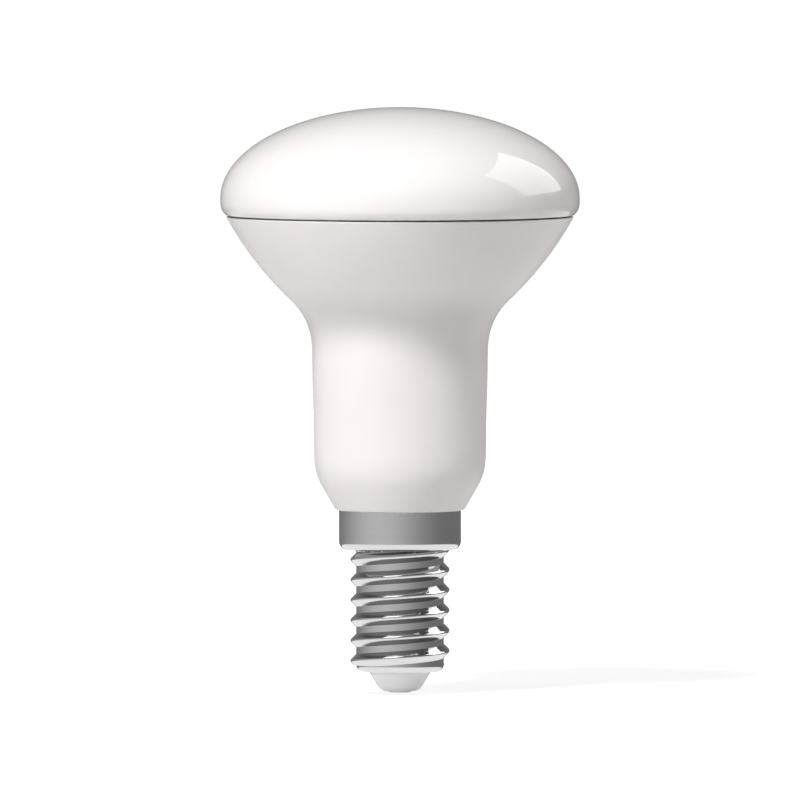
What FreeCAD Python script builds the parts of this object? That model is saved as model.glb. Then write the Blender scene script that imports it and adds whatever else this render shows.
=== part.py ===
import FreeCAD, Part
import math
import os
from collections import namedtuple

import Sketcher

# Reflector lamp, 50 mm across its opal front, on a 14 mm screw cap with a 17 mm collar.
# The origin is the middle of the centre contact's face, the lowest point of the lamp.
# +Z runs up the lamp's axis to the top of the front. Every piece is round about that axis.

# Driving sizes: name, mm (degrees for the angles), what it is
SIZES = [
    ("contact_dia", 3, "head of the centre contact"),
    ("contact_head", 0.5, "thickness of that head"),
    ("contact_proud", 0.2, "how far the head stands below the nose"),
    ("contact_shank", 1.2, "diameter of the shank that goes up through the nose"),
    ("nose_height", 2.95, "contact's face to the bottom of the rolled rim"),
    ("nose_dia", 8.6, "nose where it comes out of the rim"),
    ("nose_angle", 30, "between the nose's side and the axis"),
    ("nose_bend", 1.5, "rounding of the nose's small end"),
    ("flange_height", 1.9, "flange of the nose piece, inside the cap"),
    ("sheet", 0.3, "metal of the screw cap"),
    ("rim_bend", 0.9, "outer radius where the rim is rolled in"),
    ("root_dia", 12.2, "screw cap between its ridges"),
    ("ridge_height", 0.8, "root to crest"),
    ("ridge_angle", 45, "between a ridge's side and the axis"),
    ("crest_land", 0.3, "flat along the crest"),
    ("thread_pitch", 2.822, "nine turns to the inch"),
    ("thread_length", 17, "bottom of the rim to the underside of the collar"),
    ("crest_rise", 2.88, "bottom of the rim to the lowest whole crest, on the +X side"),
    ("collar_dia", 17, "smooth collar"),
    ("collar_height", 5.5, "underside of the collar to its upper edge"),
    ("collar_bend", 1.1, "outer radius where the collar turns in"),
    ("foot_ledge", 0.48, "how far the housing's foot stands out past the collar"),
    ("foot_rise", 5.1, "height of the conical foot"),
    ("foot_bend", 7.8, "rounding of the foot into the neck"),
    ("neck_low_dia", 23.85, "neck where the foot's cone would meet it"),
    ("neck_rise", 21.6, "foot's corner to the waist's corner"),
    ("neck_top_dia", 24.67, "neck where the reflector's flank would meet it"),
    ("waist_bend", 9.2, "hollow rounding of the neck into the flank"),
    ("flank_rise", 14.2, "waist's corner to the seam"),
    ("flank_bow", 46.4, "radius of the flank's slight outward bow"),
    ("seam_gap", 0.2, "open line between the housing and the front"),
    ("rim_wall", 2.6, "width of the housing's rim, outside its socket"),
    ("socket_depth", 2, "seam to the floor of the housing's socket"),
    ("front_dia", 50, "front at its widest"),
    ("front_rise", 12.66, "widest level to the top of the front"),
    ("front_overhang", 0.8, "how far the front stands out past the housing's rim"),
    ("skirt_bend", 2.2, "rounding where the front turns in to the seam"),
    ("skirt_band", 0.65, "straight band above that rounding"),
    ("fit_gap", 0.05, "clearance between pieces that slide together"),
]

# What follows from them: radii from the axis and levels above the contact's face
PLACES = [
    ("contact_radius", "Sizes.contact_dia / 2"),
    ("contact_seat", "Sizes.contact_head"),
    ("shank_radius", "Sizes.contact_shank / 2"),
    ("recess_radius", "contact_radius + Sizes.fit_gap"),
    ("shank_bore", "shank_radius + Sizes.fit_gap"),
    ("nose_foot", "Sizes.contact_proud"),
    ("rim_foot", "Sizes.nose_height"),
    ("rim_floor", "rim_foot + Sizes.sheet"),
    ("nose_radius", "Sizes.nose_dia / 2"),
    ("nose_tip", "nose_radius - (rim_foot - nose_foot) * tan(Sizes.nose_angle * 1 deg)"),
    ("rim_opening", "nose_radius + Sizes.fit_gap"),
    ("flange_top", "rim_floor + Sizes.flange_height"),
    ("root_radius", "Sizes.root_dia / 2"),
    ("shell_bore", "root_radius - Sizes.sheet"),
    ("plug_radius", "shell_bore - Sizes.fit_gap"),
    ("rim_turn", "root_radius - Sizes.rim_bend"),
    ("flange_turn", "rim_turn - Sizes.fit_gap"),
    ("thread_foot", "rim_foot + Sizes.rim_bend"),
    ("collar_foot", "rim_foot + Sizes.thread_length"),
    ("collar_floor", "collar_foot + Sizes.sheet"),
    ("collar_step", "collar_floor + Sizes.fit_gap"),
    ("collar_top", "collar_foot + Sizes.collar_height"),
    ("collar_radius", "Sizes.collar_dia / 2"),
    ("collar_bore", "collar_radius - Sizes.sheet"),
    ("collar_plug", "collar_bore - Sizes.fit_gap"),
    ("collar_turn", "collar_radius - Sizes.collar_bend"),
    ("collar_turn_top", "collar_foot + Sizes.collar_bend"),
    ("plug_turn", "collar_turn - Sizes.fit_gap"),
    ("plug_turn_top", "collar_turn_top + Sizes.fit_gap"),
    ("crest_radius", "root_radius + Sizes.ridge_height"),
    ("crest_clear", "crest_radius + Sizes.sheet"),
    ("crest_half", "Sizes.crest_land / 2"),
    ("ridge_base", "root_radius - Sizes.sheet / 2"),
    ("ridge_half", "crest_half + (crest_radius - ridge_base) / tan(Sizes.ridge_angle * 1 deg)"),
    ("ridge_start", "rim_foot + Sizes.crest_rise - 2 * Sizes.thread_pitch"),
    ("ridge_below", "ridge_start - ridge_half"),
    ("ridge_above", "ridge_start + ridge_half"),
    ("crest_below", "ridge_start - crest_half"),
    ("crest_above", "ridge_start + crest_half"),
    ("ridge_length", "collar_floor + ridge_half - ridge_start"),
    ("clip_floor", "ridge_below - Sizes.sheet"),
    ("foot_radius", "collar_radius + Sizes.foot_ledge"),
    ("foot_corner", "collar_top + Sizes.foot_rise"),
    ("neck_low", "Sizes.neck_low_dia / 2"),
    ("waist_corner", "foot_corner + Sizes.neck_rise"),
    ("neck_top", "Sizes.neck_top_dia / 2"),
    ("seam", "waist_corner + Sizes.flank_rise"),
    ("rim_level", "seam - Sizes.seam_gap / 2"),
    ("skirt_foot", "seam + Sizes.seam_gap / 2"),
    ("front_radius", "Sizes.front_dia / 2"),
    ("rim_radius", "front_radius - Sizes.front_overhang"),
    ("socket_radius", "rim_radius - Sizes.rim_wall"),
    ("spigot_radius", "socket_radius - Sizes.fit_gap"),
    ("socket_floor", "seam - Sizes.socket_depth"),
    ("skirt_drop", "sqrt(Sizes.skirt_bend ^ 2 - (Sizes.skirt_bend - Sizes.front_overhang) ^ 2)"),
    ("skirt_level", "skirt_foot + skirt_drop"),
    ("front_level", "skirt_level + Sizes.skirt_band"),
    ("front_top", "front_level + Sizes.front_rise"),
]


def fill_sheets(document):
    sizes = document.addObject("Spreadsheet::Sheet", "Sizes")
    for row, (name, value, note) in enumerate(SIZES, start=1):
        sizes.set(f"A{row}", name)
        sizes.set(f"B{row}", str(value))
        sizes.setAlias(f"B{row}", name)
        sizes.set(f"C{row}", note)
    places = document.addObject("Spreadsheet::Sheet", "Places")
    for row, (name, formula) in enumerate(PLACES, start=1):
        places.set(f"A{row}", name)
        places.set(f"B{row}", "=" + formula)
        places.setAlias(f"B{row}", name)
    document.recompute()


doc = FreeCAD.newDocument("ReflectorLamp")
fill_sheets(doc)

# A corner of an outline lies at a named radius and level, or on the axis, or at the origin's level.
# bend rounds it, and leg is the shape of the side from it to the next corner: straight if None.
Corner = namedtuple("Corner", "radius level bend leg", defaults=(None, None))
Bow = namedtuple("Bow", "radius hollow", defaults=(False,))    # an arc, outward or hollowed
CROWN = "quarter ellipse"                                      # widest point to top
ELLIPSE_WEIGHT = math.sqrt(0.5)                                # of its middle pole
AXIS = "axis"
BASE = "base"
UP = FreeCAD.Vector(0, 0, 1)
ORIGIN = (-1, 1)                                               # the sketch's own point and lines
LEVEL_LINE = -1
AXIS_LINE = -2
CENTRE = 3


def value(name):
    sheet, alias = name.split(".")
    return float(getattr(doc.getObject(sheet), alias))


def at(corner):
    radius = 0 if corner.radius == AXIS else value("Places." + corner.radius)
    level = 0 if corner.level == BASE else value("Places." + corner.level)
    return FreeCAD.Vector(radius, level, 0)


def arc_through(start, end, radius, hollow):
    chord = end - start
    across = FreeCAD.Vector(-chord.y, chord.x, 0).normalize() * (-1 if hollow else 1)
    centre = (start + end) / 2 + across * math.sqrt(radius ** 2 - (chord.Length / 2) ** 2)
    ends = (end, start) if hollow else (start, end)
    angles = [math.atan2(point.y - centre.y, point.x - centre.x) for point in ends]
    return Part.ArcOfCircle(Part.Circle(centre, UP, radius), *angles)


def quarter_ellipse(start, end):
    """An exact quarter of an ellipse, from its widest point to its top, as a curve of three poles."""
    curve = Part.BSplineCurve()
    poles = [start, FreeCAD.Vector(start.x, end.y, 0), end]
    curve.buildFromPolesMultsKnots(poles, [3, 3], [0, 1], False, 2, [1, ELLIPSE_WEIGHT, 1])
    return curve


def side(corner, start, end):
    if corner.leg is None:
        return Part.LineSegment(start, end)
    if corner.leg == CROWN:
        return quarter_ellipse(start, end)
    return arc_through(start, end, value(corner.leg.radius), corner.leg.hollow)


def bind(sketch, expression, kind, *where):
    number = sketch.addConstraint(Sketcher.Constraint(kind, *where, value(expression)))
    sketch.setExpression(f"Constraints[{number}]", expression)


def pin(sketch, corner, point):
    """Holds a point of the sketch at the corner's radius and level."""
    if corner.radius == AXIS:
        sketch.addConstraint(Sketcher.Constraint("PointOnObject", *point, AXIS_LINE))
    else:
        bind(sketch, "Places." + corner.radius, "DistanceX", *ORIGIN, *point)
    if corner.level == BASE:
        sketch.addConstraint(Sketcher.Constraint("PointOnObject", *point, LEVEL_LINE))
    else:
        bind(sketch, "Places." + corner.level, "DistanceY", *ORIGIN, *point)


def outline(body, name, corners):
    """A closed sketch on the XZ plane through the corners, counterclockwise."""
    sketch = body.newObject("Sketcher::SketchObject", name)
    plane = [item for item in body.Origin.OriginFeatures if item.Role == "XZ_Plane"][0]
    sketch.AttachmentSupport = [(plane, "")]
    sketch.MapMode = "FlatFace"

    points = [at(corner) for corner in corners]
    count = len(corners)
    firsts, lasts, middles = [], [], []
    for number, corner in enumerate(corners):
        shape = side(corner, points[number], points[(number + 1) % count])
        leg = sketch.addGeometry(shape)
        backwards = isinstance(corner.leg, Bow) and corner.leg.hollow
        firsts.append((leg, 2 if backwards else 1))
        lasts.append((leg, 1 if backwards else 2))
        middles.append(shape.value((shape.FirstParameter + shape.LastParameter) / 2))
    for number in range(count):
        sketch.addConstraint(Sketcher.Constraint("Coincident", *lasts[number - 1], *firsts[number]))

    bends = []
    anchors = list(firsts)
    for number, corner in enumerate(corners):
        if corner.bend is None:
            continue
        before, after = lasts[number - 1][0], firsts[number][0]
        radius = value(corner.bend)
        sketch.fillet(before, after, middles[number - 1], middles[number], radius, True, False)
        bends.append((sketch.GeometryCount - 1, corner.bend))
        sharp = sketch.addGeometry(Part.Point(points[number]), True)
        anchors[number] = (sharp, 1)
        for leg in (before, after):
            sketch.addConstraint(Sketcher.Constraint("PointOnObject", sharp, 1, leg))

    for number, corner in enumerate(corners):
        pin(sketch, corner, anchors[number])
        if isinstance(corner.leg, Bow):
            bind(sketch, corner.leg.radius, "Radius", firsts[number][0])
        if corner.leg == CROWN:
            middle_pole = sketch.GeometryCount + 1
            sketch.exposeInternalGeometry(firsts[number][0])
            sketch.addConstraint(Sketcher.Constraint("Weight", middle_pole, ELLIPSE_WEIGHT))
            over = Corner(corner.radius, corners[(number + 1) % count].level)
            pin(sketch, over, (middle_pole, CENTRE))
    for arc, radius in bends:
        bind(sketch, radius, "Radius", arc)
    return sketch


def shaped(body, kind, name, corners):
    """Adds or cuts the outline: Revolution and Groove turn it round the axis, a Helix winds it up."""
    before = body.Shape.Volume if body.Tip else 0
    sketch = outline(body, name + "Outline", corners)
    feature = body.newObject("PartDesign::" + kind, name)
    feature.Profile = sketch
    feature.ReferenceAxis = (sketch, ["V_Axis"])
    if kind.endswith("Helix"):
        feature.Mode = "pitch-height-angle"
        feature.setExpression("Pitch", "Sizes.thread_pitch")
        feature.setExpression("Height", "Places.ridge_length")
    doc.recompute()
    cuts = kind == "Groove"
    if (feature.Shape.Volume < before) != cuts:
        raise RuntimeError(name + " changes the piece the wrong way")
    return feature


def new_body(label):
    body = doc.addObject("PartDesign::Body", label)
    body.Label = label
    return body


# Rivet whose flat head is the lamp's lowest face and whose shank goes up into the cap
def make_contact():
    body = new_body("centre_contact")
    shaped(body, "Revolution", "Rivet", [
        Corner(AXIS, BASE),
        Corner("contact_radius", BASE),
        Corner("contact_radius", "contact_seat"),
        Corner("shank_radius", "contact_seat"),
        Corner("shank_radius", "flange_top"),
        Corner(AXIS, "flange_top"),
    ])
    return body


# Moulded nose that keeps the contact off the cap: its flange lies on the cap's rolled rim
def make_insulator():
    body = new_body("cap_insulator")
    shaped(body, "Revolution", "Nose", [
        Corner(AXIS, "nose_foot"),
        Corner("nose_tip", "nose_foot", bend="Sizes.nose_bend"),
        Corner("nose_radius", "rim_foot"),
        Corner("nose_radius", "rim_floor"),
        Corner("flange_turn", "rim_floor"),
        Corner("plug_radius", "thread_foot"),
        Corner("plug_radius", "flange_top"),
        Corner(AXIS, "flange_top"),
    ])
    shaped(body, "Groove", "ContactSeat", [
        Corner(AXIS, BASE),
        Corner("recess_radius", BASE),
        Corner("recess_radius", "contact_seat"),
        Corner("shank_bore", "contact_seat"),
        Corner("shank_bore", "collar_foot"),
        Corner(AXIS, "collar_foot"),
    ])
    return body


# Screw cap drawn from one sheet: rolled rim, right-handed thread and smooth collar
def make_shell():
    body = new_body("cap_shell")
    shaped(body, "Revolution", "DrawnCup", [
        Corner(AXIS, "rim_foot"),
        Corner("rim_turn", "rim_foot", leg=Bow("Sizes.rim_bend")),
        Corner("root_radius", "thread_foot"),
        Corner("root_radius", "collar_foot"),
        Corner("collar_radius", "collar_foot", bend="Sizes.collar_bend"),
        Corner("collar_radius", "collar_top"),
        Corner(AXIS, "collar_top"),
    ])
    shaped(body, "AdditiveHelix", "Thread", [
        Corner("ridge_base", "ridge_below"),
        Corner("crest_radius", "crest_below"),
        Corner("crest_radius", "crest_above"),
        Corner("ridge_base", "ridge_above"),
    ])
    shaped(body, "Groove", "ThreadEnd", [
        Corner("rim_turn", "clip_floor"),
        Corner("crest_clear", "clip_floor"),
        Corner("crest_clear", "thread_foot"),
        Corner("root_radius", "thread_foot", leg=Bow("Sizes.rim_bend", hollow=True)),
        Corner("rim_turn", "rim_foot"),
    ])
    shaped(body, "Groove", "Hollow", [
        Corner(AXIS, "clip_floor"),
        Corner("rim_opening", "clip_floor"),
        Corner("rim_opening", "rim_floor"),
        Corner("rim_turn", "rim_floor"),
        Corner("shell_bore", "thread_foot"),
        Corner("shell_bore", "collar_floor"),
        Corner("collar_turn", "collar_floor"),
        Corner("collar_bore", "collar_turn_top"),
        Corner("collar_bore", "collar_top"),
        Corner(AXIS, "collar_top"),
    ])
    return body


# Housing: plug in the cap, conical foot, neck, waist and the reflector's flank with its socket
def make_housing():
    body = new_body("housing")
    shaped(body, "Revolution", "Moulding", [
        Corner(AXIS, "flange_top"),
        Corner("plug_radius", "flange_top"),
        Corner("plug_radius", "collar_step"),
        Corner("plug_turn", "collar_step"),
        Corner("collar_plug", "plug_turn_top"),
        Corner("collar_plug", "collar_top"),
        Corner("foot_radius", "collar_top"),
        Corner("neck_low", "foot_corner", bend="Sizes.foot_bend"),
        Corner("neck_top", "waist_corner", bend="Sizes.waist_bend", leg=Bow("Sizes.flank_bow")),
        Corner("rim_radius", "rim_level"),
        Corner("socket_radius", "rim_level"),
        Corner("socket_radius", "socket_floor"),
        Corner(AXIS, "socket_floor"),
    ])
    return body


# Opal front: half an ellipse over a skirt that turns in to the seam, on a spigot in the socket
def make_diffuser():
    body = new_body("diffuser")
    shaped(body, "Revolution", "Front", [
        Corner(AXIS, "socket_floor"),
        Corner("spigot_radius", "socket_floor"),
        Corner("spigot_radius", "skirt_foot"),
        Corner("rim_radius", "skirt_foot", leg=Bow("Sizes.skirt_bend")),
        Corner("front_radius", "skirt_level"),
        Corner("front_radius", "front_level", leg=CROWN),
        Corner(AXIS, "front_top"),
    ])
    return body


pieces = [make_contact(), make_insulator(), make_shell(), make_housing(), make_diffuser()]
doc.recompute()
for item in doc.Objects:
    if "Invalid" in item.State or "Error" in item.State:
        raise RuntimeError(item.Name + " failed")
for body in pieces:
    shape = body.Shape
    if shape.isNull() or not shape.isValid() or len(shape.Solids) != 1:
        raise RuntimeError(body.Label + " is not one valid solid")

os.makedirs("parts", exist_ok=True)
for body in pieces:
    body.Shape.exportStep(f"parts/{body.Label}.step")
    print(body.Label, round(body.Shape.Volume, 1), "mm3")
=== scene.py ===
import math

import bmesh
import bpy
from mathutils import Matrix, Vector


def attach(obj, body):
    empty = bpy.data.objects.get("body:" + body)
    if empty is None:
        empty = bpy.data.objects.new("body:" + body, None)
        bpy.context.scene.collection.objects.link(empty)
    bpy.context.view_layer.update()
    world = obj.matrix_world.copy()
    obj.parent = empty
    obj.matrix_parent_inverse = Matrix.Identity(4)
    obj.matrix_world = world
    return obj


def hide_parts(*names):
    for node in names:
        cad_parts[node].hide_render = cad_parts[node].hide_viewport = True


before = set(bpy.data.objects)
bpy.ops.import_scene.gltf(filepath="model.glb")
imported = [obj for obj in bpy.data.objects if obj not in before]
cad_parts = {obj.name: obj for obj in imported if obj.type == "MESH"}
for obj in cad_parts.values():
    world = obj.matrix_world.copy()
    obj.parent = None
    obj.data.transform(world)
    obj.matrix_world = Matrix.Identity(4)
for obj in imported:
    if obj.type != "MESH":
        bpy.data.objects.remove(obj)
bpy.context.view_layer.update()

mm = 0.001                                   # the sizes below are in millimetres
bodyName = "root"
scene = bpy.context.scene


# outlines: points (radius, height) of a piece cut through its axis, in mm

meshing = {
    "bend": 6.0,                             # degrees from one point of a rounded corner to the next
    "fewest": 3,                             # steps in a rounded corner
    "longest": 2.0,                          # mm, longest straight run between two points
    "onAxis": 1e-6,                          # mm, radius up to which a point counts as on the axis
    "weld": 0.001,                           # mm, points nearer than this become one
    "sharpFrom": 32.0,                       # degrees between two faces, from which their edge is sharp
}


def arcPoints(centre, radius, fromAngle, toAngle, steps):
    points = []
    for step in range(steps + 1):
        angle = fromAngle + (toAngle - fromAngle) * step / steps
        points.append(centre + radius * Vector((math.cos(angle), math.sin(angle))))
    return points


def roundedCorner(before, corner, after, bend):
    towardsBefore = (before - corner).normalized()
    towardsAfter = (after - corner).normalized()
    half = towardsBefore.angle(towardsAfter) / 2
    centre = corner + (towardsBefore + towardsAfter).normalized() * bend / math.sin(half)
    start = corner + towardsBefore * bend / math.tan(half) - centre
    end = corner + towardsAfter * bend / math.tan(half) - centre
    fromAngle = math.atan2(start.y, start.x)
    turn = math.atan2(end.y, end.x) - fromAngle
    turn = (turn + math.pi) % (2 * math.pi) - math.pi          # the short way round
    steps = max(meshing["fewest"], math.ceil(abs(math.degrees(turn)) / meshing["bend"]))
    return arcPoints(centre, bend, fromAngle, fromAngle + turn, steps)


def outlineThrough(corners):
    # a corner is (radius, height) or (radius, height, bend)
    spots = [Vector(corner[:2]) for corner in corners]
    points = []
    for number, corner in enumerate(corners):
        if len(corner) == 3:
            after = spots[(number + 1) % len(spots)]
            points += roundedCorner(spots[number - 1], spots[number], after, corner[2])
        else:
            points.append(spots[number])
    return points


def withShortRuns(points, closed):
    # cuts long straight runs, so that no face is a long sliver
    ends = points[1:] + points[:1] if closed else points[1:]
    result = []
    for start, end in zip(points, ends):
        cuts = max(1, math.ceil((end - start).length / meshing["longest"]))
        result += [start.lerp(end, cut / cuts) for cut in range(cuts)]
    return result if closed else result + [points[-1]]


# meshes

def finishedMesh(name, vertices, faces, slotName, node, material):
    mesh = bpy.data.meshes.new(name)
    mesh.from_pydata([Vector(vertex) * mm for vertex in vertices], [], faces)
    build = bmesh.new()
    build.from_mesh(mesh)
    bmesh.ops.remove_doubles(build, verts=build.verts, dist=meshing["weld"] * mm)
    bmesh.ops.recalc_face_normals(build, faces=build.faces)
    build.to_mesh(mesh)
    build.free()
    for polygon in mesh.polygons:
        polygon.use_smooth = True
    mesh.set_sharp_from_angle(angle=math.radians(meshing["sharpFrom"]))
    piece = bpy.data.objects.new(name, mesh)
    scene.collection.objects.link(piece)
    even = piece.modifiers.new("EvenShading", "WEIGHTED_NORMAL")
    even.keep_sharp = True
    mesh.materials.append(material)
    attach(piece, bodyName)
    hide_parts(node)


def turned(points, segments, closed=False):
    # vertices and faces of an outline turned round the axis; a point on the axis is one vertex
    points = withShortRuns(points, closed)
    vertices, rings = [], []
    for point in points:
        if point.x < meshing["onAxis"]:
            rings.append([len(vertices)] * segments)
            vertices.append((0, 0, point.y))
            continue
        rings.append(range(len(vertices), len(vertices) + segments))
        for segment in range(segments):
            angle = 2 * math.pi * segment / segments
            vertices.append((point.x * math.cos(angle), point.x * math.sin(angle), point.y))
    faces = []
    pairs = list(zip(rings, rings[1:])) + ([(rings[-1], rings[0])] if closed else [])
    for low, high in pairs:
        for segment in range(segments):
            following = (segment + 1) % segments
            corners = [low[segment], low[following], high[following], high[segment]]
            faces.append(list(dict.fromkeys(corners)))
    return vertices, faces


# surface effects, each used by several finishes

def newGroup(name, inputs, outputs):
    group = bpy.data.node_groups.new(name, "ShaderNodeTree")
    for label, default in inputs.items():
        socket = group.interface.new_socket(label, in_out="INPUT", socket_type="NodeSocketFloat")
        socket.default_value = default
    for label in outputs:
        group.interface.new_socket(label, in_out="OUTPUT", socket_type="NodeSocketFloat")
    return group, group.nodes.new("NodeGroupInput"), group.nodes.new("NodeGroupOutput")


def addNode(tree, kind, **values):
    node = tree.nodes.new("ShaderNode" + kind)
    for label, setting in values.items():
        if hasattr(node, label):
            setattr(node, label, setting)
        else:
            node.inputs[label.replace("_", " ")].default_value = setting
    return node


def noiseOf(tree, place, scaleFrom, detail, rough=0.5):
    noise = addNode(tree, "TexNoise", Detail=detail, Roughness=rough)
    tree.links.new(place, noise.inputs["Vector"])
    tree.links.new(scaleFrom, noise.inputs["Scale"])
    return noise.outputs["Fac"]


def spread(tree, source, low, high, toLow=0.0, toHigh=1.0):
    ranged = addNode(tree, "MapRange", From_Min=low, From_Max=high, To_Min=toLow, To_Max=toHigh)
    tree.links.new(source, ranged.inputs["Value"])
    return ranged.outputs["Result"]


def makeMouldedSkin():
    # plastic out of a mould: a fine grain, slow waves where it cooled and faint mottling of the colour
    group, given, result = newGroup(
        "mouldedSkin",
        {"Grain Scale": 9000, "Wave Scale": 90, "Mottle Scale": 160, "Wave Share": 0.5},
        ["Height", "Mottle"])
    place = addNode(group, "TexCoord").outputs["Object"]
    grain = noiseOf(group, place, given.outputs["Grain Scale"], detail=3)
    wave = noiseOf(group, place, given.outputs["Wave Scale"], detail=1)
    mottle = noiseOf(group, place, given.outputs["Mottle Scale"], detail=4, rough=0.6)
    height = addNode(group, "Mix", data_type="FLOAT")
    group.links.new(given.outputs["Wave Share"], height.inputs["Factor"])
    group.links.new(grain, height.inputs["A"])
    group.links.new(wave, height.inputs["B"])
    group.links.new(height.outputs["Result"], result.inputs["Height"])
    group.links.new(spread(group, mottle, low=0.32, high=0.68), result.inputs["Mottle"])
    return group


def makeHandling():
    # what touching leaves on a smooth face: soft smudges and a few hair-fine rubs
    group, given, result = newGroup(
        "handling", {"Smudge Scale": 70, "Rub Scale": 420, "Rub Share": 0.35}, ["Marks"])
    place = addNode(group, "TexCoord").outputs["Object"]
    smudgeNoise = noiseOf(group, place, given.outputs["Smudge Scale"], detail=5, rough=0.62)
    smudge = spread(group, smudgeNoise, low=0.42, high=0.7)
    stretched = addNode(group, "Mapping", Rotation=(0.5, 0.3, 0.9), Scale=(0.06, 1, 1))
    group.links.new(place, stretched.inputs["Vector"])
    rubNoise = noiseOf(group, stretched.outputs["Vector"], given.outputs["Rub Scale"], detail=6, rough=0.7)
    rubs = spread(group, rubNoise, low=0.62, high=0.72)
    both = addNode(group, "Mix", data_type="FLOAT")
    group.links.new(given.outputs["Rub Share"], both.inputs["Factor"])
    group.links.new(smudge, both.inputs["A"])
    group.links.new(rubs, both.inputs["B"])
    group.links.new(both.outputs["Result"], result.inputs["Marks"])
    return group


def makeDrawnLines():
    # hair-fine rings left on drawn sheet: noise that changes almost only along the axis
    group, given, result = newGroup(
        "drawnLines", {"Line Scale": 2600, "Band Scale": 500}, ["Lines", "Height"])
    place = addNode(group, "TexCoord").outputs["Object"]
    along = addNode(group, "Mapping", Scale=(0.02, 0.02, 1))
    group.links.new(place, along.inputs["Vector"])
    fine = noiseOf(group, along.outputs["Vector"], given.outputs["Line Scale"], detail=4, rough=0.65)
    band = noiseOf(group, along.outputs["Vector"], given.outputs["Band Scale"], detail=2)
    height = addNode(group, "Math", operation="ADD")
    group.links.new(fine, height.inputs[0])
    group.links.new(band, height.inputs[1])
    group.links.new(spread(group, fine, low=0.35, high=0.65), result.inputs["Lines"])
    group.links.new(height.outputs["Value"], result.inputs["Height"])
    return group


mouldedSkin = makeMouldedSkin()
handling = makeHandling()
drawnLines = makeDrawnLines()
print("surface effects ready")


def placeGroup(tree, group, values):
    node = tree.nodes.new("ShaderNodeGroup")
    node.node_tree = group
    for label, setting in values.items():
        node.inputs[label].default_value = setting
    return node


def startMaterial(name, shader):
    material = bpy.data.materials.new(name)
    material.use_nodes = True
    tree = material.node_tree
    tree.nodes.clear()
    surface = tree.nodes.new("ShaderNodeBsdfPrincipled")
    output = tree.nodes.new("ShaderNodeOutputMaterial")
    tree.links.new(surface.outputs["BSDF"], output.inputs["Surface"])
    for label, setting in shader.items():
        surface.inputs[label].default_value = setting
    return material, tree, surface


def mixedColour(tree, mask, first, second):
    # first and second are a shade (red, green, blue) or another node's colour
    colour = addNode(tree, "Mix", data_type="RGBA")
    tree.links.new(mask, colour.inputs["Factor"])
    for label, given in (("A", first), ("B", second)):
        socket = [item for item in colour.inputs if item.name == label and item.type == "RGBA"][0]
        if isinstance(given, tuple):
            socket.default_value = (*given, 1)
        else:
            tree.links.new(given, socket)
    return [item for item in colour.outputs if item.type == "RGBA"][0]


def raised(tree, height, depth, socket):
    bump = addNode(tree, "Bump", Strength=1.0, Distance=depth * mm)
    tree.links.new(height, bump.inputs["Height"])
    tree.links.new(bump.outputs["Normal"], socket)


def ringMask(tree, ring):
    # 1 in a ring round the axis that fades out below and above
    height = tree.nodes.new("ShaderNodeSeparateXYZ")
    tree.links.new(addNode(tree, "TexCoord").outputs["Object"], height.inputs["Vector"])
    both = addNode(tree, "Math", operation="MULTIPLY")
    for number, (edge, shown) in enumerate(((ring["below"], (0, 1)), (ring["above"], (1, 0)))):
        fade = addNode(tree, "MapRange", interpolation_type="SMOOTHSTEP", From_Min=edge[0] * mm,
                       From_Max=edge[1] * mm, To_Min=shown[0], To_Max=shown[1])
        tree.links.new(height.outputs["Z"], fade.inputs["Value"])
        tree.links.new(fade.outputs["Result"], both.inputs[number])
    return both.outputs["Value"]


def plasticMaterial(name, look):
    material, tree, surface = startMaterial(name, look["shader"])
    skin = placeGroup(tree, mouldedSkin, look["skin"])
    marks = placeGroup(tree, handling, look["marks"])
    colour = mixedColour(tree, skin.outputs["Mottle"], *look["shades"])
    # painted shade: a darker colour in a ring round the axis, where shade falls
    if "hollow" in look:
        colour = mixedColour(tree, ringMask(tree, look["hollow"]), colour, look["hollow"]["shade"])
    # what it sends on to other surfaces is darker, which keeps its own hollows deep
    bounce = tree.nodes.new("ShaderNodeLightPath").outputs["Is Diffuse Ray"]
    colour = mixedColour(tree, bounce, colour, look["bounceShade"])
    tree.links.new(colour, surface.inputs["Base Color"])
    gloss = spread(tree, marks.outputs["Marks"], 0, 1, *look["roughness"])
    tree.links.new(gloss, surface.inputs["Roughness"])
    raised(tree, skin.outputs["Height"], look["depth"], surface.inputs["Normal"])
    return material


def metalMaterial(name, look):
    material, tree, surface = startMaterial(name, look["shader"])
    lines = placeGroup(tree, drawnLines, look["lines"])
    marks = placeGroup(tree, handling, look["marks"])
    wear = addNode(tree, "Mix", data_type="FLOAT")
    wear.inputs["Factor"].default_value = look["markShare"]
    tree.links.new(lines.outputs["Lines"], wear.inputs["A"])
    tree.links.new(marks.outputs["Marks"], wear.inputs["B"])
    mask = wear.outputs["Result"]
    # its image in itself is darker, which keeps the thread's hollows deep
    bounce = tree.nodes.new("ShaderNodeLightPath").outputs["Is Glossy Ray"]
    colour = mixedColour(tree, bounce, mixedColour(tree, mask, *look["shades"]), look["bounceShade"])
    tree.links.new(colour, surface.inputs["Base Color"])
    tree.links.new(spread(tree, mask, 0, 1, *look["roughness"]), surface.inputs["Roughness"])
    raised(tree, lines.outputs["Height"], look["depth"], surface.inputs["Normal"])
    return material


# diffuser: the opal front

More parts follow.
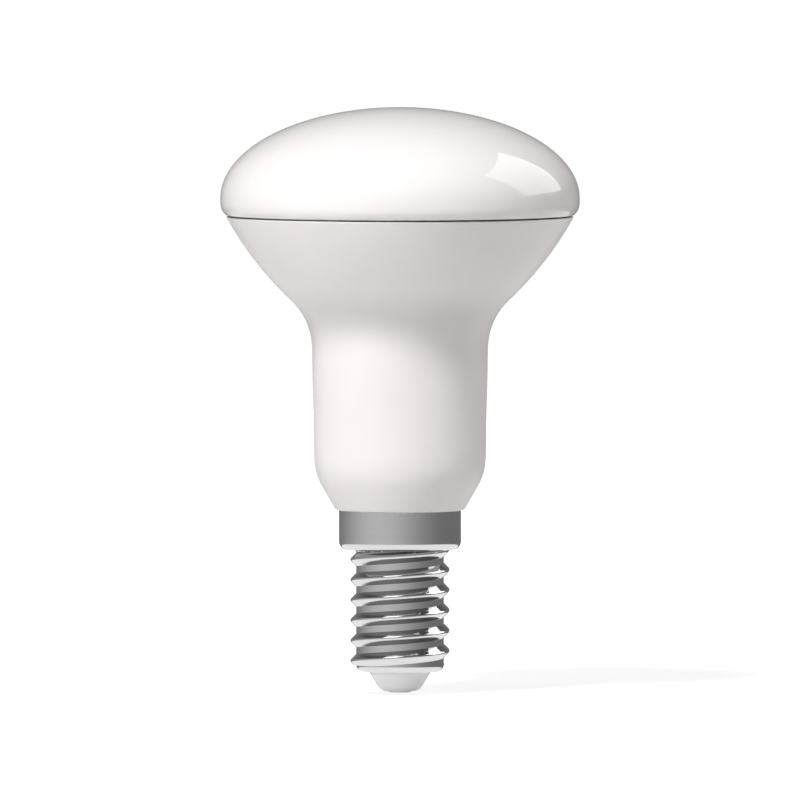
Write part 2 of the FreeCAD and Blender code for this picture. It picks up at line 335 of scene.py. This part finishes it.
diffuser = {
    "seamRadius": 24.2,                      # where the skirt meets the housing
    "spigotRadius": 21.55,
    "spigotFoot": 64.35,
    "skirtFoot": 66.45,
    "skirtBend": 2.2,
    "skirtSteps": 12,
    "edgeBend": 0.1,
    "widest": 24.992,
    "skirtTop": 68.147,
    "widestTop": 68.797,
    "crownRise": 12.66,                      # the front is half an ellipse
    "crownSteps": 80,
    "segments": 256,
    "look": {
        "shader": {"IOR": 1.49, "Subsurface Weight": 0.12, "Subsurface Scale": 1.5 * mm,
                   "Subsurface Radius": (1.0, 0.95, 0.9)},
        "shades": ((0.922, 0.882, 0.874), (0.942, 0.902, 0.894)),
        "bounceShade": (0.45, 0.44, 0.44),
        "roughness": (0.02, 0.035),
        "skin": {"Grain Scale": 2500, "Wave Scale": 70, "Mottle Scale": 110, "Wave Share": 0.93},
        "marks": {"Smudge Scale": 80, "Rub Scale": 300, "Rub Share": 0.2},
        "depth": 0.006,
    },
}


def diffuserOutline(sizes):
    widest, seam = sizes["widest"], sizes["seamRadius"]
    bendCentre = Vector((widest - sizes["skirtBend"], sizes["skirtTop"]))
    startAngle = -math.acos((seam - bendCentre.x) / sizes["skirtBend"])
    skirt = arcPoints(bendCentre, sizes["skirtBend"], startAngle, 0, sizes["skirtSteps"])
    crown = []
    for step in range(sizes["crownSteps"] + 1):
        angle = math.pi / 2 * step / sizes["crownSteps"]
        height = sizes["widestTop"] + sizes["crownRise"] * math.sin(angle)
        crown.append(Vector((widest * math.cos(angle), height)))
    crown[-1].x = 0
    spigot = Vector((sizes["spigotRadius"], sizes["skirtFoot"]))
    edge = roundedCorner(spigot, skirt[0], skirt[1], sizes["edgeBend"])
    foot = [Vector((0, sizes["spigotFoot"])), Vector((sizes["spigotRadius"], sizes["spigotFoot"]))]
    return foot + [spigot] + edge + skirt[1:] + crown


diffuserMesh = turned(diffuserOutline(diffuser), diffuser["segments"])
opalPlastic = plasticMaterial("opalPlastic", diffuser["look"])
finishedMesh("opalFront", *diffuserMesh, "opal_front", "diffuser", opalPlastic)
print("opal front ready")


# housing: foot, neck, waist and the reflector's flank

housing = {
    "plug": [(0, 5.15), (5.75, 5.15), (5.75, 20.3), (7.35, 20.3), (8.15, 21.1), (8.15, 25.45)],
    "foot": (8.98, 25.45, 0.25),
    "neckLow": (11.925, 30.55, 7.8),
    "neckTop": (12.335, 52.15),
    "waistBend": 9.2,
    "waistSteps": 16,
    "flankBow": 46.4,
    "flankSteps": 24,
    "rim": (24.2, 66.25),
    "rimBend": 0.12,
    "socket": [(21.6, 66.25, 0.1), (21.6, 64.35), (0, 64.35)],
    "segments": 256,
    "look": {
        "shader": {"IOR": 1.5, "Specular IOR Level": 0.4},
        "shades": ((0.909, 0.865, 0.857), (0.933, 0.889, 0.881)),
        "bounceShade": (0.2, 0.195, 0.195),
        "hollow": {                          # painted shade: a little less white in the waist's hollow, where shade falls under the flank
            "shade": (0.829, 0.789, 0.782),
            "below": (49.3, 52.4),           # mm up the axis
            "above": (53.2, 57.2),
        },
        "roughness": (0.34, 0.44),
        "skin": {"Grain Scale": 4200, "Wave Scale": 80, "Mottle Scale": 120, "Wave Share": 0.6},
        "marks": {"Smudge Scale": 60, "Rub Scale": 380, "Rub Share": 0.3},
        "depth": 0.006,
    },
}


def flankPoints(sizes):
    # the neck's straight side, rounded at the waist into the bowed flank
    low, top, rim = Vector(sizes["neckLow"][:2]), Vector(sizes["neckTop"]), Vector(sizes["rim"])
    bend, bow = sizes["waistBend"], sizes["flankBow"]
    chord = rim - top
    inward = Vector((-chord.y, chord.x)).normalized()
    bowCentre = (top + rim) / 2 + inward * math.sqrt(bow ** 2 - chord.length_squared / 4)
    along = (top - low).normalized()
    outward = Vector((along.y, -along.x))
    reach = top + outward * bend - bowCentre
    lift = -reach.dot(along) - math.sqrt(reach.dot(along) ** 2 - reach.length_squared + (bow + bend) ** 2)
    bendCentre = top + outward * bend + along * lift
    towardsBow = bowCentre - bendCentre
    endAngle = math.atan2(towardsBow.y, towardsBow.x)
    startAngle = math.atan2(-outward.y, -outward.x) % (2 * math.pi)
    waist = arcPoints(bendCentre, bend, startAngle, endAngle, sizes["waistSteps"])
    fromBow, toRim = waist[-1] - bowCentre, rim - bowCentre
    bowStart, bowEnd = (math.atan2(way.y, way.x) for way in (fromBow, toRim))
    flank = arcPoints(bowCentre, bow, bowStart, bowEnd, sizes["flankSteps"])
    return waist + flank[1:]


def housingOutline(sizes):
    flank = flankPoints(sizes)
    foot = outlineThrough([*sizes["plug"], sizes["foot"], sizes["neckLow"], tuple(flank[0])])[:-1]
    socketEdge = Vector(sizes["socket"][0][:2])
    rim = roundedCorner(flank[-2], flank[-1], socketEdge, sizes["rimBend"])
    socket = outlineThrough([tuple(rim[-1]), *sizes["socket"]])[1:]
    return foot + flank[:-1] + rim + socket


housingMesh = turned(housingOutline(housing), housing["segments"])
satinPlastic = plasticMaterial("satinPlastic", housing["look"])
finishedMesh("lampHousing", *housingMesh, "white_housing", "housing", satinPlastic)
print("housing ready")


# screw cap: rolled rim, right-handed thread and smooth collar, from one sheet

shell = {
    "rimMouth": 4.35,
    "rimFoot": 2.95,
    "sheet": 0.3,
    "rimBend": 0.9,
    "rimSteps": 14,
    "root": 6.1,                             # radius between the ridges
    "levelWithin": 0.01,                     # thread points this near to a level end move onto it
    "ridgeHalf": 0.95,                       # ridge's half width at the root, its sides at 45 degrees
    "crestBend": 0.362,
    "pitch": 2.822,
    "firstCrest": 5.83,                      # height of the lowest whole crest, on the +X side
    "threadFoot": 3.85,
    "collarFoot": 19.95,
    "collarFillet": 0.4,
    "filletSteps": 8,
    "flatFrom": 7.0,                         # radius where the collar's flat underside starts
    "collarBend": 1.1,
    "collar": 8.5,
    "collarTop": 25.45,
    "edgeBend": 0.1,
    "segments": 256,
    "look": {
        "shader": {"Metallic": 1.0},
        "shades": ((0.76, 0.76, 0.757), (0.72, 0.722, 0.72)),
        "bounceShade": (0.32, 0.32, 0.32),
        "roughness": (0.07, 0.14),
        "lines": {"Line Scale": 2600, "Band Scale": 420},
        "marks": {"Smudge Scale": 160, "Rub Scale": 900, "Rub Share": 0.4},
        "markShare": 0.45,
        "depth": 0.0012,
    },
}


def ridgeOutline(sizes):
    # one turn's section: (distance along the axis from the crest, radius)
    half, root = sizes["pitch"] / 2, sizes["root"]
    corners = [(-half, root), (-sizes["ridgeHalf"], root), (0, root + sizes["ridgeHalf"], sizes["crestBend"]),
               (sizes["ridgeHalf"], root), (half, root)]
    return outlineThrough(corners)[:-1]


def threadRadius(section, sizes, segment, height):
    turnShare = segment / sizes["segments"]
    pitch = sizes["pitch"]
    offset = (height - sizes["firstCrest"] - pitch * turnShare + pitch / 2) % pitch - pitch / 2
    for start, end in zip(section, section[1:]):
        if start.x <= offset <= end.x:
            return start.y + (end.y - start.y) * (offset - start.x) / (end.x - start.x)
    return sizes["root"]


def threadEnds(sizes):
    return sizes["threadFoot"], sizes["collarFoot"] - sizes["collarFillet"]


def addPoint(build, radius, segment, height):
    angle = 2 * math.pi * segment / build["segments"]
    build["vertices"].append((radius * math.cos(angle), radius * math.sin(angle), height))
    return len(build["vertices"]) - 1


def plainRings(build, points):
    return [[addPoint(build, point.x, segment, point.y) for segment in range(build["segments"])]
            for point in points]


def threadRing(build, sizes, height, least=0.0):
    # a level ring that follows the ridge where it passes
    section = ridgeOutline(sizes)
    points = []
    for segment in range(build["segments"]):
        radius = max(least, threadRadius(section, sizes, segment, height))
        points.append(addPoint(build, radius, segment, height))
    return points


def bridge(build, rings):
    for low, high in zip(rings, rings[1:]):
        for segment in range(build["segments"]):
            following = (segment + 1) % build["segments"]
            build["faces"].append([low[segment], low[following], high[following], high[segment]])


def addThread(build, sizes, lowEdge, highEdge):
    # rows of points that climb with the thread, cut off level at its two edges
    section = ridgeOutline(sizes)
    segments, pitch, firstCrest = sizes["segments"], sizes["pitch"], sizes["firstCrest"]
    bottom, top = threadEnds(sizes)
    made = {}

    def threadPoint(row, segment):
        if segment == segments:
            return threadPoint(row + len(section), 0)
        turn, number = divmod(row, len(section))
        height = firstCrest + pitch * (turn + segment / segments) + section[number].x
        if height < bottom + sizes["levelWithin"]:
            return lowEdge[segment]
        if height > top - sizes["levelWithin"]:
            return highEdge[segment]
        if (row, segment) not in made:
            made[row, segment] = addPoint(build, section[number].y, segment, height)
        return made[row, segment]

    firstTurn = math.floor((bottom - firstCrest) / pitch) - 1
    lastTurn = math.ceil((top - firstCrest) / pitch) + 1
    for row in range(firstTurn * len(section), lastTurn * len(section)):
        for segment in range(segments):
            corners = [threadPoint(row, segment), threadPoint(row, segment + 1),
                       threadPoint(row + 1, segment + 1), threadPoint(row + 1, segment)]
            corners = list(dict.fromkeys(corners))
            if len(corners) > 2:
                build["faces"].append(corners)


def rimOutline(sizes):
    # from the rim's mouth outwards and up to the foot of the thread
    turnFrom = sizes["root"] - sizes["rimBend"]
    rim = outlineThrough([(sizes["rimMouth"], sizes["rimFoot"] + sizes["sheet"]),
                          (sizes["rimMouth"], sizes["rimFoot"], sizes["edgeBend"]),
                          (turnFrom, sizes["rimFoot"])])
    turnCentre = Vector((turnFrom, sizes["threadFoot"]))
    return rim + arcPoints(turnCentre, sizes["rimBend"], -math.pi / 2, 0, sizes["rimSteps"])[1:]


def collarOutline(sizes):
    # from under the collar, over it and down inside the sheet to the rim
    inner = sizes["collar"] - sizes["sheet"]
    bore = sizes["root"] - sizes["sheet"]
    sheetTop = sizes["collarFoot"] + sizes["sheet"]
    outline = outlineThrough([(sizes["flatFrom"], sizes["collarFoot"]),
                              (sizes["collar"], sizes["collarFoot"], sizes["collarBend"]),
                              (sizes["collar"], sizes["collarTop"], sizes["edgeBend"]),
                              (inner, sizes["collarTop"]),
                              (inner, sizes["collarFoot"] + sizes["collarBend"]),
                              (sizes["collar"] - sizes["collarBend"], sheetTop),
                              (bore, sheetTop),
                              (bore, sizes["threadFoot"]),
                              (sizes["root"] - sizes["rimBend"], sizes["rimFoot"] + sizes["sheet"])])
    return withShortRuns(outline, False)


def filletOutline(sizes):
    # from the top of the thread out to the collar's underside
    radius, top = sizes["collarFillet"], threadEnds(sizes)[1]
    centre = Vector((sizes["root"] + radius, top))
    return arcPoints(centre, radius, math.pi, math.pi / 2, sizes["filletSteps"])[1:]


def shellMesh(sizes):
    build = {"segments": sizes["segments"], "vertices": [], "faces": []}
    lowRings = plainRings(build, rimOutline(sizes))
    lowEdge, highEdge = (threadRing(build, sizes, height) for height in threadEnds(sizes))
    addThread(build, sizes, lowEdge, highEdge)
    fillet = [threadRing(build, sizes, point.y, point.x) for point in filletOutline(sizes)]
    highRings = plainRings(build, collarOutline(sizes))
    bridge(build, lowRings + [lowEdge])
    bridge(build, [highEdge] + fillet + highRings + [lowRings[0]])
    return build["vertices"], build["faces"]


platedMetal = metalMaterial("platedMetal", shell["look"])
finishedMesh("screwCap", *shellMesh(shell), "plated_cap", "cap_shell", platedMetal)
print("screw cap ready")


# nose of the cap, and its contact

nose = {
    "outline": [(0.65, 5.15), (0.65, 0.5), (1.55, 0.5), (1.55, 0.2, 0.06), (2.712, 0.2, 1.5),
                (4.3, 2.95), (4.3, 3.25), (5.15, 3.25), (5.75, 3.85), (5.75, 5.15)],
    "segments": 192,
    "look": {
        "shader": {"IOR": 1.5},
        "shades": ((0.93, 0.93, 0.93), (0.95, 0.95, 0.95)),
        "bounceShade": (0.9, 0.9, 0.9),
        "roughness": (0.2, 0.32),
        "skin": {"Grain Scale": 6000, "Wave Scale": 150, "Mottle Scale": 300, "Wave Share": 0.5},
        "marks": {"Smudge Scale": 180, "Rub Scale": 700, "Rub Share": 0.3},
        "depth": 0.01,
    },
}

noseMesh = turned(outlineThrough(nose["outline"]), nose["segments"], closed=True)
greyPlastic = plasticMaterial("greyPlastic", nose["look"])
finishedMesh("capNose", *noseMesh, "nose_plastic", "cap_insulator", greyPlastic)

contact = {
    "outline": [(0, 0), (1.5, 0, 0.12), (1.5, 0.5), (0.6, 0.5), (0.6, 5.15), (0, 5.15)],
    "segments": 96,
    "look": {
        "shader": {"Metallic": 1.0},
        "shades": ((0.7, 0.69, 0.66), (0.6, 0.59, 0.565)),
        "bounceShade": (0.32, 0.315, 0.3),
        "roughness": (0.22, 0.38),
        "lines": {"Line Scale": 3000, "Band Scale": 800},
        "marks": {"Smudge Scale": 500, "Rub Scale": 1800, "Rub Share": 0.6},
        "markShare": 0.8,
        "depth": 0.002,
    },
}

contactMesh = turned(outlineThrough(contact["outline"]), contact["segments"])
contactMetal = metalMaterial("contactMetal", contact["look"])
finishedMesh("contactRivet", *contactMesh, "contact_metal", "centre_contact", contactMetal)
print("nose and contact ready")


# camera

camera = {
    "distance": 3.0,                         # m, far enough to look almost flat
    "elevation": 2.3,                        # degrees
    "aim": 40.72,                            # mm up the lamp's axis
    "frameWidth": 111.27,                    # mm across the picture, at the lamp
    "sensor": 36.0,                          # mm
    "clip": (0.01, 60),                      # m, nearest and farthest that it sees
}


def makeCamera(settings):
    lens = bpy.data.cameras.new("photoCamera")
    lens.sensor_width = settings["sensor"]
    lens.lens = settings["sensor"] * settings["distance"] / (settings["frameWidth"] * mm)
    lens.clip_start, lens.clip_end = settings["clip"]
    viewer = bpy.data.objects.new("photoCamera", lens)
    scene.collection.objects.link(viewer)
    tilt = math.radians(settings["elevation"])
    offset = Vector((0, -math.cos(tilt), math.sin(tilt))) * settings["distance"]
    viewer.location = Vector((0, 0, settings["aim"] * mm)) + offset
    viewer.rotation_euler = (-offset).to_track_quat("-Z", "Y").to_euler()
    scene.camera = viewer


makeCamera(camera)


# studio

studio = {
    "backdrop": 1.0,                         # white, as the camera, metal and glass see it
    "ambient": 0.03,                         # what the room sends onto the lamp
    "floorSize": 12.0,                       # m
    "floorHeight": -0.3,                     # mm, just under the contact
    "floorColour": (0.72, 0.72, 0.72),
    "floorGlow": (0.62, 1.0),                # as the camera sees it, near the lamp and far from it
    "floorNear": (0.15, 0.7),                # m from the lamp
    "lights": {                              # azimuth 0 is on the camera's side; distance and side in m
        "keyLeft": {"azimuth": -30, "elevation": 50, "distance": 1.0, "side": 0.2, "power": 7.0},
        "frontLow": {"azimuth": -49, "elevation": 6, "distance": 1.0, "side": 0.6, "power": 3.9},
        "rightSide": {"azimuth": 90, "elevation": 35, "distance": 1.0, "side": 0.6, "power": 2.05},
        "rightHigh": {"azimuth": 50, "elevation": 65, "distance": 1.0, "side": 0.6, "power": 1.9},
        "backMiddle": {"azimuth": 180, "elevation": 12, "distance": 1.0, "side": 0.6, "power": 3.0},
        "backRight": {"azimuth": 140, "elevation": 10, "distance": 1.0, "side": 0.6, "power": 1.0},
        "backLeft": {"azimuth": -140, "elevation": 10, "distance": 1.0, "side": 0.6, "power": 1.0},
        "windowRight": {"azimuth": 108.4, "elevation": 32.7, "distance": 1.0, "side": 0.8, "power": 4.9,
                        "glossOnly": True},
        "keyGlint": {"azimuth": -33, "elevation": 58, "distance": 1.0, "side": 0.55, "power": 2.4,
                     "glossOnly": True},
    },
    "middle": 45.0,                          # mm, the height that the lights point at
    "tent": {                                # grey screen round the lamp, which only its gloss sees
        "radius": 1.6,                       # m
        "lowEdge": -15,                      # degrees from the horizon
        "wallTop": 12,
        "roofFoot": 42,
        "brightAzimuth": -42,                # the side that is brightest
        "wall": (0.18, 0.585),               # darkest and brightest, round the horizon
        "falloff": 2.0,                      # how soon the bright side fades, 1 is evenly
        "roof": 0.26,                        # share of the wall's light that is left overhead
        "steps": 24,
        "segments": 64,
    },
}


def directionTo(azimuth, elevation):
    # azimuth 0 is on the camera's side, 90 to its right
    around, up = math.radians(azimuth), math.radians(elevation)
    return Vector((math.sin(around) * math.cos(up), -math.cos(around) * math.cos(up), math.sin(up)))


def makeLights(settings):
    middle = Vector((0, 0, settings["middle"] * mm))
    for name, given in settings["lights"].items():
        light = bpy.data.lights.new(name, "AREA")
        light.shape = "SQUARE"
        light.size = given["side"]
        light.energy = given["power"]
        direction = directionTo(given["azimuth"], given["elevation"])
        holder = bpy.data.objects.new(name, light)
        scene.collection.objects.link(holder)
        holder.location = middle + direction * given["distance"]
        holder.rotation_euler = direction.to_track_quat("Z", "Y").to_euler()
        holder.visible_camera = False
        holder.visible_diffuse = not given.get("glossOnly", False)
        holder.visible_glossy = given.get("glossOnly", False)


def makeFloor(settings):
    half = settings["floorSize"] / 2
    height = settings["floorHeight"] * mm
    mesh = bpy.data.meshes.new("studioFloor")
    corners = [(-half, -half, height), (half, -half, height), (half, half, height), (-half, half, height)]
    mesh.from_pydata(corners, [], [(0, 1, 2, 3)])
    floor = bpy.data.objects.new("studioFloor", mesh)
    scene.collection.objects.link(floor)
    floor.visible_glossy = False             # the world shows the gloss the same white
    material = bpy.data.materials.new("paleFloor")
    material.use_nodes = True
    tree = material.node_tree
    tree.nodes.clear()
    matt = addNode(tree, "BsdfDiffuse", Color=(*settings["floorColour"], 1))
    glow = addNode(tree, "Emission", Color=(1, 1, 1, 1))
    path = tree.nodes.new("ShaderNodeLightPath")
    away = addNode(tree, "VectorMath", operation="LENGTH")
    tree.links.new(addNode(tree, "TexCoord").outputs["Object"], away.inputs[0])
    white = spread(tree, away.outputs["Value"], *settings["floorNear"], *settings["floorGlow"])
    level = addNode(tree, "Math", operation="MULTIPLY")
    tree.links.new(path.outputs["Is Camera Ray"], level.inputs[0])
    tree.links.new(white, level.inputs[1])
    tree.links.new(level.outputs["Value"], glow.inputs["Strength"])
    both = tree.nodes.new("ShaderNodeAddShader")
    output = tree.nodes.new("ShaderNodeOutputMaterial")
    tree.links.new(matt.outputs["BSDF"], both.inputs[0])
    tree.links.new(glow.outputs["Emission"], both.inputs[1])
    tree.links.new(both.outputs["Shader"], output.inputs["Surface"])
    mesh.materials.append(material)


def makeWorld(settings):
    world = bpy.data.worlds.new("studioWorld")
    scene.world = world
    world.use_nodes = True
    tree = world.node_tree
    tree.nodes.clear()
    path = tree.nodes.new("ShaderNodeLightPath")
    first = addNode(tree, "Math", operation="MAXIMUM")
    second = addNode(tree, "Math", operation="MAXIMUM")
    tree.links.new(path.outputs["Is Camera Ray"], first.inputs[0])
    tree.links.new(path.outputs["Is Glossy Ray"], first.inputs[1])
    tree.links.new(first.outputs["Value"], second.inputs[0])
    tree.links.new(path.outputs["Is Transmission Ray"], second.inputs[1])
    background = addNode(tree, "Background", Color=(1, 1, 1, 1))
    level = spread(tree, second.outputs["Value"], 0, 1, settings["ambient"], settings["backdrop"])
    tree.links.new(level, background.inputs["Strength"])
    output = tree.nodes.new("ShaderNodeOutputWorld")
    tree.links.new(background.outputs["Background"], output.inputs["Surface"])


def makeTent(settings):
    tent = settings["tent"]
    radius, low = tent["radius"], math.radians(tent["lowEdge"])
    dome = arcPoints(Vector((0, 0)), radius, low, math.pi / 2, tent["steps"])
    vertices, faces = turned(dome, tent["segments"])
    mesh = bpy.data.meshes.new("greyTent")
    mesh.from_pydata(vertices, [], faces)
    screen = bpy.data.objects.new("greyTent", mesh)
    scene.collection.objects.link(screen)
    screen.location.z = settings["middle"] * mm
    for rays in ("camera", "diffuse", "transmission", "volume_scatter", "shadow"):
        setattr(screen, "visible_" + rays, False)
    material = bpy.data.materials.new("tentCloth")
    material.use_nodes = True
    tree = material.node_tree
    tree.nodes.clear()
    place = addNode(tree, "TexCoord").outputs["Object"]
    split = tree.nodes.new("ShaderNodeSeparateXYZ")
    tree.links.new(place, split.inputs["Vector"])
    bright = addNode(tree, "VectorMath", operation="DOT_PRODUCT")
    bright.inputs[1].default_value = directionTo(tent["brightAzimuth"], 0)
    tree.links.new(place, bright.inputs[0])
    nearness = spread(tree, bright.outputs["Value"], -radius, radius)
    gathered = addNode(tree, "Math", operation="POWER")
    gathered.inputs[1].default_value = tent["falloff"]
    tree.links.new(nearness, gathered.inputs[0])
    wall = spread(tree, gathered.outputs["Value"], 0, 1, *tent["wall"])
    foot, head = (radius * math.sin(math.radians(tent[edge])) for edge in ("wallTop", "roofFoot"))
    roof = spread(tree, split.outputs["Z"], foot, head, 1, tent["roof"])
    level = addNode(tree, "Math", operation="MULTIPLY")
    tree.links.new(wall, level.inputs[0])
    tree.links.new(roof, level.inputs[1])
    glow = addNode(tree, "Emission", Color=(1, 1, 1, 1))
    tree.links.new(level.outputs["Value"], glow.inputs["Strength"])
    output = tree.nodes.new("ShaderNodeOutputMaterial")
    tree.links.new(glow.outputs["Emission"], output.inputs["Surface"])
    mesh.materials.append(material)


makeLights(studio)
makeFloor(studio)
makeTent(studio)
makeWorld(studio)
scene.view_settings.view_transform = "Standard"
print("studio ready")
